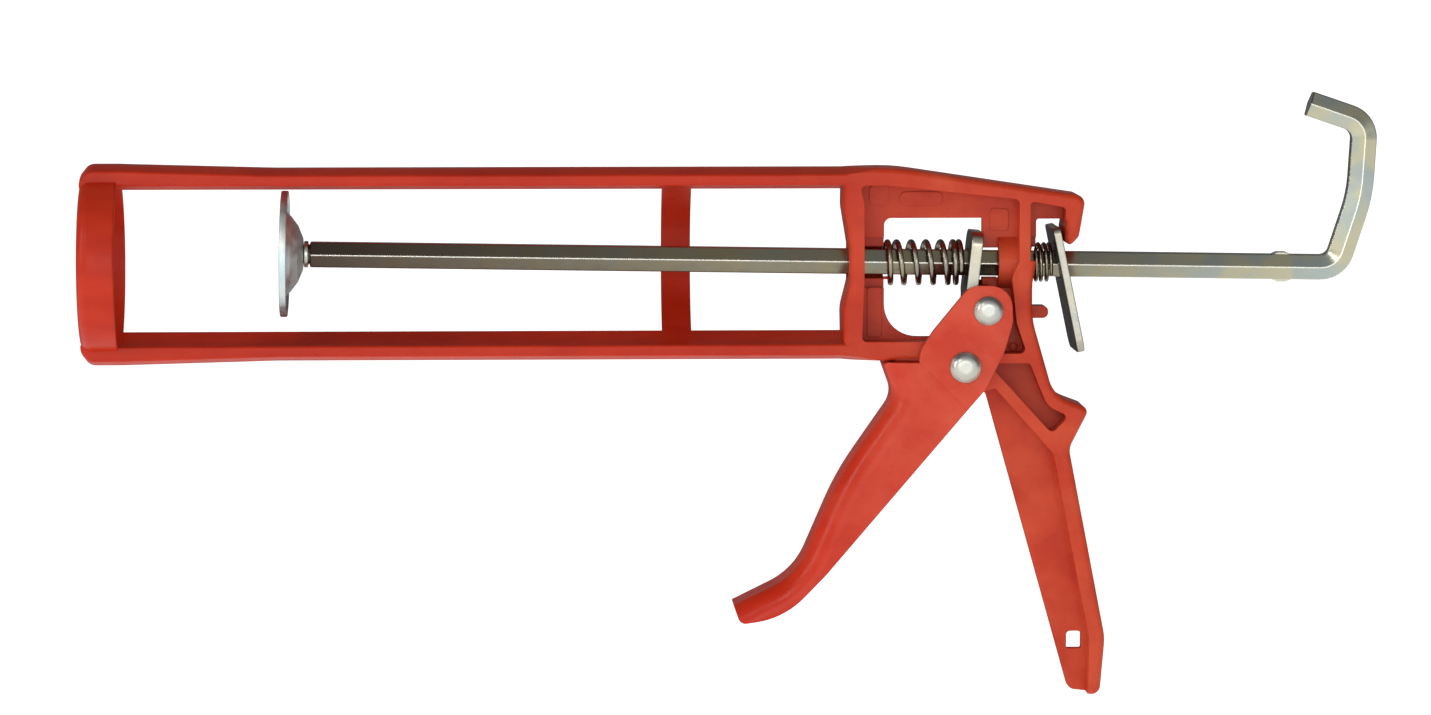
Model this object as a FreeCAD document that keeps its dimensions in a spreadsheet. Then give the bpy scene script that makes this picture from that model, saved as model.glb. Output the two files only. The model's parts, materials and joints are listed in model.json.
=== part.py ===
import FreeCAD, Part
import math
import os
import Sketcher

# Skeleton caulking gun for a 310 ml cartridge.
#
# One moulded plastic frame carries the cartridge cradle, the bearings of the push rod and the
# handle. A trigger on a rivet swings a drive plate forward, which grips the hexagonal push rod;
# a release plate under the frame's rear hook keeps the rod from sliding back.
#
# Frame of reference: +Z is up, +X points to the rear (towards the handle and the rod's hook),
# and the user's left-hand side is -Y. The origin is the centre of the seat that the cartridge's
# rear rim rests on, on the axis shared by the barrel and the push rod.

doc = FreeCAD.newDocument("CaulkingGun")

# ------------------------------------------------------------------------------ driving sizes

DRIVING = (
    # cartridge cradle
    ("cartridge_diameter", 50.0), ("cartridge_play", 0.5), ("ring_play", 0.4),
    ("barrel_length", 226.8), ("arm_thickness", 3.35), ("arm_near", 10.5), ("arm_far", 15.0),
    ("ring_width", 11.2), ("ring_wall", 4.7), ("ring_corner", 3.2), ("cup_wall", 1.8),
    ("lip_wall", 2.4),
    ("nozzle_opening", 42.0), ("flare_length", 58.0), ("band_width", 8.8), ("band_place", 48.9),
    ("edge_round", 0.9),
    # housing behind the seat
    ("housing_width", 21.0), ("web_wall", 3.5), ("bulkhead_bow", 1.9), ("bulkhead_wall", 4.4),
    ("top_flange", 4.3), ("bottom_flange", 5.7), ("rib_wall", 2.9), ("handle_flange", 4.8),
    ("housing_fall", 8.5), ("rim_round", 1.8), ("shoulder_length", 16.0),
    ("front_bearing", 6.4), ("rear_bearing_near", 6.2), ("rear_bearing_far", 4.5),
    ("bearing_play", 0.45), ("bearing_wall", 3.0), ("hoop_overlap", 0.4), ("plate_to_bearing", 5.7),
    ("hook_lip", 5.0), ("slot_drop", 7.2), ("window_drop", 11.6), ("peg_reach", 5.4),
    ("peg_height", 3.7), ("peg_width", 6.0), ("peg_drop", 14.8),
    # handle
    ("handle_length", 99.0), ("handle_slope", 0.28), ("tang_below", 12.9), ("tang_reach", 17.4),
    ("neck_depth", 19.9), ("toe_depth", 8.7), ("toe_swell", 6.3), ("diagonal_rib", 3.6),
    ("lanyard_wide", 4.5), ("lanyard_high", 5.3),
    # trigger and its rivets
    ("pivot_below", 1.7), ("lever_arm", 18.2), ("lever_lean", 21.9),
    ("cheek_wall", 2.5), ("cheek_gap", 0.4), ("ear_step", 0.45), ("trigger_wall", 2.6),
    ("trigger_length", 76.4), ("nub_gap", 0.4), ("trigger_round", 7.0),
    ("pivot_shank", 5.5), ("pivot_head", 9.3), ("pin_shank", 4.2), ("pin_head", 8.7),
    ("sleeve_diameter", 6.6), ("rivet_play", 0.08), ("pin_gap", 0.15), ("washer_wall", 1.0),
    # push rod and piston
    ("rod_flats", 7.5), ("rod_tilt", 0.87), ("rod_length", 307.7), ("rod_reach", 158.9),
    ("hook_height", 43.6), ("crimp_swell", 0.7),
    ("neck_diameter", 6.0), ("neck_length", 1.8), ("thread_diameter", 5.0),
    ("disc_diameter", 37.7), ("disc_wall", 1.5), ("dome_diameter", 26.4), ("dome_depth", 5.4),
    ("nut_flats", 8.0), ("nut_height", 4.0),
    # plates and springs
    ("plate_wall", 3.5), ("plate_width", 21.0), ("plate_play", 0.8), ("plate_tilt", 6.2),
    ("plate_top", 9.6), ("tongue_width", 14.0), ("tongue_past_pin", 3.8),
    ("release_wall", 2.3), ("release_width", 26.0), ("release_length", 38.0), ("release_top", 11.4),
    ("release_play", 1.5), ("release_tilt", 11.7), ("seat_gap", 0.3),
    ("spring_length", 24.0), ("spring_room", 0.95), ("spring_wire", 1.7), ("spring_turns", 6.0),
    ("return_length", 5.8), ("return_room", 0.57), ("return_wire", 1.1), ("return_turns", 3.0),
)

sheet = doc.addObject("Spreadsheet::Sheet", "Sizes")
for row, (alias, value) in enumerate(DRIVING, start=1):
    sheet.set("A%d" % row, alias)
    sheet.set("B%d" % row, str(value))
    sheet.setAlias("B%d" % row, alias)
doc.recompute()


class Size:
    """A number together with the spreadsheet expression that it comes from."""

    def __init__(self, value, text):
        self.value = float(value)
        self.text = text

    def __add__(self, other):
        other = sized(other)
        return Size(self.value + other.value, "(%s + %s)" % (self.text, other.text))

    def __sub__(self, other):
        other = sized(other)
        return Size(self.value - other.value, "(%s - %s)" % (self.text, other.text))

    def __mul__(self, other):
        other = sized(other)
        return Size(self.value * other.value, "(%s * %s)" % (self.text, other.text))

    def __truediv__(self, other):
        other = sized(other)
        return Size(self.value / other.value, "(%s / %s)" % (self.text, other.text))

    def __neg__(self):
        return Size(-self.value, "(0 - %s)" % self.text)

    def __radd__(self, other):
        return sized(other) + self

    def __rsub__(self, other):
        return sized(other) - self

    def __rmul__(self, other):
        return sized(other) * self


def sized(value):
    return value if isinstance(value, Size) else Size(value, repr(float(value)))


def sine(degrees):
    return Size(math.sin(math.radians(degrees.value)), "sin(%s * 1 deg)" % degrees.text)


def cosine(degrees):
    return Size(math.cos(math.radians(degrees.value)), "cos(%s * 1 deg)" % degrees.text)


def root(value):
    return Size(math.sqrt(value.value), "sqrt(%s)" % value.text)


class SheetSizes:
    """Gives each driving size of the sheet as an attribute."""

    def __getattr__(self, alias):
        return Size(sheet.get(alias), "Sizes.%s" % alias)


size = SheetSizes()

# ------------------------------------------------------------------------- sketching helpers

def new_body(label):
    body = doc.addObject("PartDesign::Body", label)
    body.Label = label
    return body


def new_sketch(body, name, plane, height=0.0):
    """An empty sketch on one of the body's own origin planes, raised by height."""
    sketch = body.newObject("Sketcher::SketchObject", name)
    support = [item for item in body.Origin.OriginFeatures if item.Role == plane][0]
    sketch.AttachmentSupport = [(support, "")]
    sketch.MapMode = "FlatFace"
    if isinstance(height, Size):
        sketch.AttachmentOffset = FreeCAD.Placement(FreeCAD.Vector(0, 0, height.value),
                                                    FreeCAD.Rotation())
        sketch.setExpression("AttachmentOffset.Base.z", height.text)
    return sketch


def bind(sketch, kind, *args):
    """Adds one constraint whose last argument is a Size, and ties it to the sheet."""
    value = sized(args[-1])
    index = sketch.addConstraint(Sketcher.Constraint(kind, *args[:-1], value.value))
    if "Sizes." in value.text:
        sketch.setExpression("Constraints[%d]" % index, value.text)


def place_point(sketch, geometry, end, across, up):
    bind(sketch, "DistanceX", -1, 1, geometry, end, across)
    bind(sketch, "DistanceY", -1, 1, geometry, end, up)


def outline(sketch, corners):
    """A closed outline. Each corner is (across, up) or (across, up, radius)."""
    count = len(corners)
    points = [FreeCAD.Vector(sized(c[0]).value, sized(c[1]).value, 0) for c in corners]
    starts, ends, rounds = list(points), list(points), {}
    for i, corner in enumerate(corners):
        if len(corner) < 3:
            continue
        radius = sized(corner[2]).value
        back = (points[i - 1] - points[i]).normalize()
        ahead = (points[(i + 1) % count] - points[i]).normalize()
        half = 0.5 * back.getAngle(ahead)
        reach = radius / math.tan(half)
        centre = points[i] + (back + ahead).normalize() * (radius / math.sin(half))
        ends[i] = points[i] + back * reach
        starts[i] = points[i] + ahead * reach
        turn = back.cross(ahead).z
        rounds[i] = (centre, radius, turn)
    lines = [sketch.addGeometry(Part.LineSegment(starts[i], ends[(i + 1) % count]), False)
             for i in range(count)]
    for i, corner in enumerate(corners):
        before, after = lines[i - 1], lines[i]
        if i not in rounds:
            sketch.addConstraint(Sketcher.Constraint("Coincident", before, 2, after, 1))
            place_point(sketch, after, 1, corner[0], corner[1])
            continue
        centre, radius, turn = rounds[i]
        circle = Part.Circle(centre, FreeCAD.Vector(0, 0, 1), radius)
        first, last = (ends[i], starts[i]) if turn < 0 else (starts[i], ends[i])
        arc = sketch.addGeometry(Part.ArcOfCircle(circle, circle.parameter(first),
                                                  circle.parameter(last)), False)
        entering, leaving = (1, 2) if turn < 0 else (2, 1)
        sketch.addConstraint(Sketcher.Constraint("Tangent", before, 2, arc, entering))
        sketch.addConstraint(Sketcher.Constraint("Tangent", after, 1, arc, leaving))
        bind(sketch, "Radius", arc, corner[2])
        sharp = sketch.addGeometry(Part.Point(points[i]), True)
        place_point(sketch, sharp, 1, corner[0], corner[1])
        sketch.addConstraint(Sketcher.Constraint("PointOnObject", sharp, 1, before))
        sketch.addConstraint(Sketcher.Constraint("PointOnObject", sharp, 1, after))


def disc(sketch, across, up, radius):
    centre = FreeCAD.Vector(sized(across).value, sized(up).value, 0)
    circle = sketch.addGeometry(Part.Circle(centre, FreeCAD.Vector(0, 0, 1), sized(radius).value),
                                False)
    bind(sketch, "Radius", circle, radius)
    place_point(sketch, circle, 3, across, up)


def half_disc(sketch, radius, side):
    """Half a disc about the sketch's origin, on the side of its horizontal axis given as +1 or -1."""
    reach = sized(radius).value
    circle = Part.Circle(FreeCAD.Vector(0, 0, 0), FreeCAD.Vector(0, 0, 1), reach)
    low, high = FreeCAD.Vector(0, -reach, 0), FreeCAD.Vector(0, reach, 0)
    first, last = (low, high) if side > 0 else (high, low)
    start = circle.parameter(first)
    arc = sketch.addGeometry(Part.ArcOfCircle(circle, start, start + math.pi), False)
    chord = sketch.addGeometry(Part.LineSegment(last, first), False)
    sketch.addConstraint(Sketcher.Constraint("Coincident", arc, 2, chord, 1))
    sketch.addConstraint(Sketcher.Constraint("Coincident", chord, 2, arc, 1))
    sketch.addConstraint(Sketcher.Constraint("Coincident", arc, 3, -1, 1))
    sketch.addConstraint(Sketcher.Constraint("PointOnObject", arc, 1, -2))
    sketch.addConstraint(Sketcher.Constraint("PointOnObject", arc, 2, -2))
    bind(sketch, "Radius", arc, radius)


def hexagon(flats, across=0.0, up=0.0):
    """The six corners of a hexagon with flats above and below."""
    half, corner = flats / 2, flats / root(Size(3.0, "3.0"))
    return [(across + corner, up + 0.0), (across + corner / 2, up + half),
            (across - corner / 2, up + half), (across - corner, up + 0.0),
            (across - corner / 2, up - half), (across + corner / 2, up - half)]


def pad(body, name, sketch, length, both_ways=True, backwards=False):
    feature = body.newObject("PartDesign::Pad", name)
    feature.Profile = sketch
    feature.SideType = "Symmetric" if both_ways else "One side"
    feature.Reversed = backwards
    feature.setExpression("Length", sized(length).text)
    doc.recompute()
    return feature


def pocket(body, name, sketch, length, both_ways=True, backwards=False):
    """Cuts the sketch's outlines from the body, and makes sure that something was cut."""
    before = body.Shape.Volume
    feature = body.newObject("PartDesign::Pocket", name)
    feature.Profile = sketch
    feature.SideType = "Symmetric" if both_ways else "One side"
    feature.Reversed = backwards
    feature.setExpression("Length", sized(length).text)
    doc.recompute()
    if body.Shape.Volume > before - 0.01:
        raise RuntimeError("%s cuts nothing" % name)
    return feature


def revolve(body, name, sketch, axis="H_Axis"):
    feature = body.newObject("PartDesign::Revolution", name)
    feature.Profile = sketch
    feature.ReferenceAxis = (sketch, [axis])
    feature.Angle = 360
    doc.recompute()
    return feature


def fillet(body, name, radius, choose):
    """Rounds the edges of the body's present tip that choose(edge) picks."""
    tip = body.Tip
    names = ["Edge%d" % number for number, edge in enumerate(tip.Shape.Edges, start=1) if choose(edge)]
    if not names:
        raise RuntimeError("%s finds no edges" % name)
    feature = body.newObject("PartDesign::Fillet", name)
    feature.Base = (tip, names)
    feature.setExpression("Radius", sized(radius).text)
    doc.recompute()
    return feature


def put(thing, across, along, up, tilt=None):
    """Places a body; tilt leans it about Y, the top towards +X."""
    lean = sized(tilt).value if tilt is not None else 0.0
    thing.Placement = FreeCAD.Placement(
        FreeCAD.Vector(sized(across).value, sized(along).value, sized(up).value),
        FreeCAD.Rotation(FreeCAD.Vector(0, 1, 0), lean))
    for letter, value in zip("xyz", (across, along, up)):
        thing.setExpression("Placement.Base.%s" % letter, sized(value).text)
    if tilt is not None:
        thing.setExpression("Placement.Rotation.Angle", sized(tilt).text)


# -------------------------------------------------------------- places worked out from sizes

seat_radius = size.cartridge_diameter / 2
arm_inner = seat_radius + size.cartridge_play
arm_outer = arm_inner + size.arm_thickness
seat_edge = arm_outer - 0.05
ring_bore = seat_radius + size.ring_play
ring_outer = ring_bore + size.ring_wall
cup_outer = ring_bore + size.cup_wall
ring_rear = size.ring_width - size.barrel_length

rod_corner = size.rod_flats / root(Size(3.0, "3.0"))
bore_radius = rod_corner + size.bearing_play
bearing_radius = bore_radius + size.bearing_wall
spring_diameter = (rod_corner + size.spring_room + size.spring_wire) * 2
return_diameter = (rod_corner + size.return_room + size.return_wire) * 2

bulkhead_rear = size.bulkhead_bow + size.bulkhead_wall
spring_seat = bulkhead_rear + size.front_bearing

# The drive plate leans with its top to the rear, and its front face clears the spring's end.
plate_slope = sine(size.plate_tilt) / cosine(size.plate_tilt)
plate_centre = (spring_seat + size.spring_length + spring_diameter / 2 * plate_slope
                + size.plate_wall / 2 / cosine(size.plate_tilt) + 0.1)
plate_rear = plate_centre + size.plate_wall / 2 / cosine(size.plate_tilt)
plate_stop = plate_rear + size.plate_top * plate_slope

rear_bearing = plate_rear + size.plate_to_bearing
bearing_split = rear_bearing + size.rear_bearing_near
bearing_end = bearing_split + size.rear_bearing_far
rib_front = bearing_split - size.hoop_overlap
rib_rear = bearing_split + size.rib_wall

# The release plate stands behind the housing, its rear face on the hook's lip.
release_slope = sine(size.release_tilt) / cosine(size.release_tilt)
release_half = size.release_wall / 2 / cosine(size.release_tilt)
release_centre = (bearing_end + size.return_length + return_diameter / 2 * release_slope
                  + release_half + 0.1)
lip_low = seat_radius - 19.4
lip_middle = lip_low + 2.2
lip_front = release_centre + release_half - lip_middle * release_slope + size.seat_gap

# The drive pin stands behind the plate's tongue, above the trigger's pivot and to its rear.
pivot_z = -seat_edge - size.pivot_below
pin_z = pivot_z + size.lever_arm * cosine(size.lever_lean)
pin_x = (plate_rear + pin_z * plate_slope
         + size.sleeve_diameter / 2 / cosine(size.plate_tilt) + size.pin_gap)
pivot_x = pin_x - size.lever_arm * sine(size.lever_lean)

housing_half = size.housing_width / 2
cheek_inner = housing_half + size.cheek_gap
cheek_outer = cheek_inner + size.cheek_wall
ear_outer = cheek_outer + size.ear_step

# The handle's front edge is a straight line from under the pivot down to the toe.
grip_top = pivot_z - 8.9
grip_front = pivot_x + 7.2
handle_bottom = pivot_z - size.handle_length
tang_z = pivot_z - size.tang_below
wall_x = rib_rear + 0.7


def front_edge(up):
    """How far back the handle's front edge is at a height."""
    return grip_front + (grip_top - up) * size.handle_slope


# --------------------------------------------------------------------------- frame: cradle

cradle = new_body("cradle")

# The two arms, turned about the barrel's axis as one tube that flares towards the front.
sketch = new_sketch(cradle, "tube_section", "XZ_Plane")
outline(sketch, [
    (-size.barrel_length, ring_bore),
    (-size.barrel_length, ring_outer - size.ring_corner, size.ring_corner * 0.6),
    (size.ring_corner * 0.8 - size.barrel_length, ring_outer, size.ring_corner),
    (ring_rear, ring_outer, 40.0),
    (size.flare_length - size.barrel_length, arm_outer, 40.0),
    (size.bulkhead_bow, arm_outer),
    (size.bulkhead_bow, arm_inner),
    (ring_rear, arm_inner),
    (ring_rear, ring_bore)])
revolve(cradle, "tube", sketch)

# The tube is cut away on both flanks, which leaves the arms. The far side keeps one cross band.
far_limit = ring_outer + 5.0
past_front = -size.barrel_length - 5.0
band_front = -size.band_place - size.band_width / 2
band_rear = -size.band_place + size.band_width / 2
past_seat = size.bulkhead_bow + 5.0
sketch = new_sketch(cradle, "bay_outlines", "XY_Plane")
outline(sketch, [(past_front, -size.arm_near), (past_front, -far_limit),
                 (past_seat, -far_limit), (past_seat, -size.arm_near)])
outline(sketch, [(past_front, size.arm_far), (band_front, size.arm_far),
                 (band_front, far_limit), (past_front, far_limit)])
outline(sketch, [(band_rear, size.arm_far), (past_seat, size.arm_far),
                 (past_seat, far_limit), (band_rear, far_limit)])
pocket(cradle, "bays", sketch, far_limit * 2)


def along_arm(edge):
    """Long edges of the two arms."""
    box = edge.BoundBox
    return box.XLength > 30.0


fillet(cradle, "arm_edges", size.edge_round, along_arm)

# Thin-walled cup between the arms' front ends, with the lip that holds the cartridge.
sketch = new_sketch(cradle, "cup_section", "XZ_Plane")
outline(sketch, [
    (-size.barrel_length, size.nozzle_opening / 2),
    (-size.barrel_length, cup_outer, size.cup_wall * 1.8),
    (ring_rear, cup_outer, size.cup_wall * 0.4),
    (ring_rear, ring_bore),
    (size.lip_wall - size.barrel_length, ring_bore),
    (size.lip_wall - size.barrel_length, size.nozzle_opening / 2)])
revolve(cradle, "cup", sketch)

# -------------------------------------------------------------------------- frame: housing

housing = new_body("housing")
hook_top = seat_edge - size.housing_fall
lip_rear = lip_front + size.hook_lip
slot_front = lip_front - 0.2
slot_top = hook_top - size.slot_drop
window_top = seat_radius - size.window_drop
web_rear = bearing_end + 0.9
tang_tip = wall_x + size.tang_reach
neck_z = tang_z - 12.0
toe_z = handle_bottom + 17.0

# Side outline of the housing, its rear hook and the handle.
sketch = new_sketch(housing, "side_outline", "XZ_Plane")
outline(sketch, [
    (0.2, seat_edge),
    (16.0, seat_edge, 60.0),
    (lip_rear + 1.9, hook_top, 2.8),
    (lip_rear - 0.2, lip_low + 2.6, 2.2),
    (lip_front + 2.1, lip_low - 0.3, 1.2),
    (lip_front, lip_low + 1.9, 1.0),
    (lip_front + 0.9, slot_top, 0.8),
    (web_rear, slot_top, 0.8),
    (web_rear, 4.0, 2.0),
    (wall_x, -6.0, 3.0),
    (wall_x, pivot_z + 14.0, 24.0),
    (wall_x + 6.6, tang_z + 4.0, 9.0),
    (tang_tip, tang_z, 2.0),
    (front_edge(neck_z) + size.neck_depth, neck_z, 5.5),
    (front_edge(toe_z) + size.toe_depth + size.toe_swell, toe_z, 16.0),
    (front_edge(handle_bottom) + size.toe_depth, handle_bottom - 0.5, 2.6),
    (front_edge(handle_bottom), handle_bottom + 0.5, 2.6),
    (grip_front, grip_top, 3.0),
    (pivot_x + 4.0, pivot_z - 6.4, 5.0),
    (pivot_x - 5.0, pivot_z - 6.4, 3.5),
    (pivot_x - 7.5, -seat_edge, 2.5),
    (0.2, -seat_edge),
    (-0.1, 11.5 - seat_radius, 12.0),
    (size.bulkhead_bow, -bore_radius - 0.8, 5.0),
    (size.bulkhead_bow, bore_radius + 0.8, 5.0),
    (0.0, seat_radius - 8.0, 12.0)])
pad(housing, "side_block", sketch, size.housing_width)


def outer_rim(edge):
    """Edges of the side outline on both flanks, but for the front ends that meet the arms."""
    box = edge.BoundBox
    flank = abs(abs(box.YMin) - housing_half.value) < 0.01 and box.YLength < 0.01
    return flank and box.XMax > 1.0


fillet(housing, "rim_rounding", size.rim_round, outer_rim)

# Behind the seat the housing's corners grow out of the arms' round section within a short shoulder.
shoulder_low = arm_outer + 0.03
shoulder_high = root(seat_edge * seat_edge + housing_half * housing_half) + 0.2
sketch = new_sketch(housing, "shoulder_section", "XZ_Plane")
outline(sketch, [
    (-1.0, shoulder_low),
    (0.0, shoulder_low),
    (size.shoulder_length, shoulder_high),
    (size.shoulder_length, shoulder_high + 6.0),
    (-1.0, shoulder_high + 6.0)])
shoulder = housing.newObject("PartDesign::Groove", "shoulder")
shoulder.Profile = sketch
shoulder.ReferenceAxis = (sketch, ["H_Axis"])
shoulder.Angle = 360
doc.recompute()

# Hollows on both flanks, which leave the web with its flanges and ribs.
hollow_depth = (size.housing_width - size.web_wall) / 2
inner_bottom = size.bottom_flange - seat_edge
shelf_top = pivot_z + 3.8
shelf_low = shelf_top - size.rib_wall
rib_x, rib_z = pivot_x + 10.7, pivot_z - 2.8
rib_slope = 1.12


def rib_edge(across, drop=0.0):
    """Height of the handle's slanting rib at a distance back; drop gives its lower edge."""
    return rib_z - (across - rib_x) * rib_slope - drop


rib_drop = size.diagonal_rib * 1.5
neck_inner = front_edge(neck_z) + size.neck_depth - size.handle_flange
toe_inner = front_edge(toe_z) + size.toe_depth + size.toe_swell - size.handle_flange
shelf_inner = wall_x - size.handle_flange + 3.2
upper_rib_back = pivot_x + 26.3
rib_foot = grip_front + 2.0

HOLLOWS = (
    ("housing_hollow", [
        (5.0, seat_edge - size.top_flange - 0.9, 1.5),
        (bulkhead_rear, seat_edge - size.top_flange - 6.6, 8.0),
        (bulkhead_rear, -5.5, 8.0),
        (5.6, inner_bottom, 1.5),
        (pivot_x + 6.5, inner_bottom, 1.5),
        (pivot_x + 9.0, shelf_top, 1.5),
        (shelf_inner, shelf_top, 1.5),
        (wall_x - size.handle_flange, pivot_z + 13.1, 10.0),
        (wall_x - size.handle_flange - 1.4, -4.0, 2.0),
        (rib_front, 1.0, 2.0),
        (rib_front, hook_top - size.top_flange + 3.4, 1.5),
        (14.0, seat_edge - size.top_flange - 0.9, 20.0)]),
    ("hook_hollow", [
        (rib_rear, hook_top - size.top_flange + 2.9, 1.2),
        (slot_front + 1.0, hook_top - size.top_flange + 0.9, 1.2),
        (slot_front + 0.4, 1.0),
        (rib_rear, 1.0)]),
    ("tang_hollow", [
        (pivot_x + 7.0, shelf_low, 0.6),
        (shelf_inner + 0.9, shelf_low, 1.2),
        (wall_x + 4.6, tang_z + 0.9, 6.0),
        (tang_tip - 6.4, tang_z - 2.2, 1.3),
        (upper_rib_back, rib_edge(upper_rib_back), 1.6)]),
    ("grip_hollow", [
        (rib_foot, rib_edge(rib_foot, rib_drop)),
        (neck_inner, rib_edge(neck_inner, rib_drop), 1.6),
        (toe_inner, toe_z, 14.0),
        (front_edge(handle_bottom) + size.toe_depth - 3.6, handle_bottom - 4.0),
        (front_edge(handle_bottom) - 6.0, handle_bottom - 4.0),
        (grip_front - 6.0, grip_top)]),
)
for side, facing in (("near", False), ("far", True)):
    for name, corners in HOLLOWS:
        level = size.housing_width / 2 if side == "near" else -size.housing_width / 2
        sketch = new_sketch(housing, "%s_%s_outline" % (side, name), "XZ_Plane", level)
        outline(sketch, corners)
        pocket(housing, "%s_%s" % (side, name), sketch, hollow_depth,
               both_ways=False, backwards=facing)

# Window through the web for the drive spring, the drive plate and the trigger's pin.
pin_reach = size.sleeve_diameter / 2 + 0.8
sketch = new_sketch(housing, "window_outline", "XZ_Plane")
outline(sketch, [
    (spring_seat, window_top, 2.2),
    (plate_stop, window_top, 0.5),
    (plate_stop, pin_z + pin_reach + 3.0, 0.6),
    (pin_x + pin_reach, pin_z + pin_reach + 2.0, 0.6),
    (pin_x + pin_reach, inner_bottom + 0.8, 0.8),
    (spring_seat, inner_bottom + 0.8, 10.0)])
pocket(housing, "window", sketch, size.housing_width)

# Rod bearings: half hoops on alternate flanks, so that a two-part mould can form them. The rear
# pair overlap a little, and past its end each hoop's own flank is cut open.
BEARINGS = (
    ("front_far_hoop", bulkhead_rear, size.front_bearing, 1),
    ("rear_near_hoop", rear_bearing, size.rear_bearing_near, -1),
    ("rear_far_hoop", rib_front, size.rear_bearing_far + size.hoop_overlap, 1),
)
for name, start, length, side in BEARINGS:
    sketch = new_sketch(housing, name + "_half", "YZ_Plane", start)
    half_disc(sketch, bearing_radius, side)
    pad(housing, name, sketch, length, both_ways=False)
OPEN_FLANKS = (
    ("front_near_opening", bulkhead_rear, size.front_bearing, -1),
    ("rear_far_opening", rear_bearing, size.rear_bearing_near - size.hoop_overlap, 1),
    ("rear_near_opening", bearing_split, size.rear_bearing_far + 5.0, -1),
)
for name, start, length, side in OPEN_FLANKS:
    sketch = new_sketch(housing, name + "_half", "YZ_Plane", start)
    half_disc(sketch, bearing_radius, side)
    pocket(housing, name, sketch, length, both_ways=False, backwards=True)

# Bore for the push rod, with a lead-in at the seat.
sketch = new_sketch(housing, "rod_bore_circle", "YZ_Plane", -1.0)
disc(sketch, 0.0, 0.0, bore_radius)
pocket(housing, "rod_bore", sketch, web_rear + 10.0, both_ways=False, backwards=True)

# Stop peg for the release plate.
peg_end = wall_x + size.peg_reach
sketch = new_sketch(housing, "peg_outline", "XZ_Plane")
outline(sketch, [
    (wall_x - 1.5, size.peg_height / 2 - size.peg_drop),
    (wall_x - 1.5, -size.peg_height / 2 - size.peg_drop),
    (peg_end, -size.peg_height / 2 - size.peg_drop, size.peg_height * 0.45),
    (peg_end, size.peg_height / 2 - size.peg_drop, size.peg_height * 0.45)])
pad(housing, "peg", sketch, size.peg_width)

# Boss round the trigger's pivot, as wide as the housing, and its bore.
sketch = new_sketch(housing, "pivot_boss_circle", "XZ_Plane")
disc(sketch, pivot_x, pivot_z, size.pivot_shank / 2 + 3.4)
pad(housing, "pivot_boss", sketch, size.housing_width)
sketch = new_sketch(housing, "pivot_bore_circle", "XZ_Plane")
disc(sketch, pivot_x, pivot_z, size.pivot_shank / 2 + size.rivet_play)
pocket(housing, "pivot_bore", sketch, size.housing_width + 2.0)

# Hanging hole through the handle's web.
hole_z = handle_bottom + 15.4
hole_x = front_edge(hole_z) + 5.9
sketch = new_sketch(housing, "hanging_hole_outline", "XZ_Plane")
outline(sketch, [
    (hole_x - size.lanyard_wide / 2, hole_z - size.lanyard_high / 2, 0.4),
    (hole_x + size.lanyard_wide / 2, hole_z - size.lanyard_high / 2, 0.4),
    (hole_x + size.lanyard_wide / 2, hole_z + size.lanyard_high / 2, 1.2),
    (hole_x - size.lanyard_wide / 2, hole_z + size.lanyard_high / 2, 1.2)])
pocket(housing, "hanging_hole", sketch, size.housing_width)

frame = doc.addObject("Part::Fuse", "frame")
frame.Label = "frame"
frame.Base = cradle
frame.Tool = housing
frame.Refine = True
doc.recompute()

# --------------------------------------------------------------------------------- trigger

trigger = new_body("trigger")
cheek_top = pin_z + 7.4
step_x, step_z = pivot_x - 13.8, pivot_z + 1.4
tip_z = pivot_z - size.trigger_length
rear_slope = 1.17
heel_x, heel_z = pivot_x + 6.0, pivot_z - 6.7
belly_x = heel_x - (heel_z - tip_z - 14.0) / rear_slope
nub_top = -seat_edge - size.nub_gap
nub_x, nub_z = pivot_x - 24.3, pivot_z + 0.5
tip_x, tip_top = pivot_x - 68.9, tip_z + 4.5

# Channel-shaped grip, rounded at the front and open to the rear.
sketch = new_sketch(trigger, "grip_outline", "XZ_Plane")
outline(sketch, [
    (pivot_x - 22.8, nub_top),
    (nub_x, nub_z),
    (pivot_x - 20.8, pivot_z - 9.2, 7.0),
    (pivot_x - 37.6, pivot_z - 33.4, 90.0),
    (pivot_x - 50.3, tip_z + 13.7, 22.0),
    (tip_x, tip_top),
    (pivot_x - 67.1, tip_z - 0.6, 2.2),
    (pivot_x - 54.0, tip_z + 1.3, 25.0),
    (belly_x, tip_z + 14.0, 22.0),
    (heel_x, heel_z, 1.2),
    (pivot_x + 6.0, nub_top)])
pad(trigger, "grip_block", sketch, cheek_outer * 2)


def finger_edge(edge):
    """Edges on both flanks along the fingers' side of the grip, from the nub to the tip."""
    box = edge.BoundBox
    flank = abs(abs(box.YMin) - cheek_outer.value) < 0.01 and box.YLength < 0.01
    below_nub = box.ZMax < (nub_z + 0.01).value
    middle = edge.valueAt((edge.FirstParameter + edge.LastParameter) / 2)
    chord = (middle.x - tip_x.value) * (nub_z.value - tip_top.value)
    chord -= (middle.z - tip_top.value) * (nub_x.value - tip_x.value)
    return flank and below_nub and chord < 1200.0 and middle.z > tip_top.value


fillet(trigger, "finger_rounding", size.trigger_round, finger_edge)

# Flat ears that straddle the housing, a little proud of the grip.
sketch = new_sketch(trigger, "ear_outline", "XZ_Plane")
outline(sketch, [
    (step_x, step_z, 1.0),
    (pivot_x - 5.6, pivot_z - 6.4, 4.0),
    (heel_x - 5.4, heel_z - 6.2),
    (heel_x, heel_z, 1.2),
    (pivot_x + 11.4, pivot_z + 4.0, 12.0),
    (pin_x + 7.4, pin_z - 3.4, 8.0),
    (pin_x + 6.9, cheek_top, 6.4),
    (pin_x - 5.4, cheek_top, 6.0),
    (pivot_x - 9.7, pivot_z + 10.8, 12.0),
    (pivot_x - 13.5, pivot_z + 5.0, 6.0)])
pad(trigger, "ears", sketch, ear_outer * 2)

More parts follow.
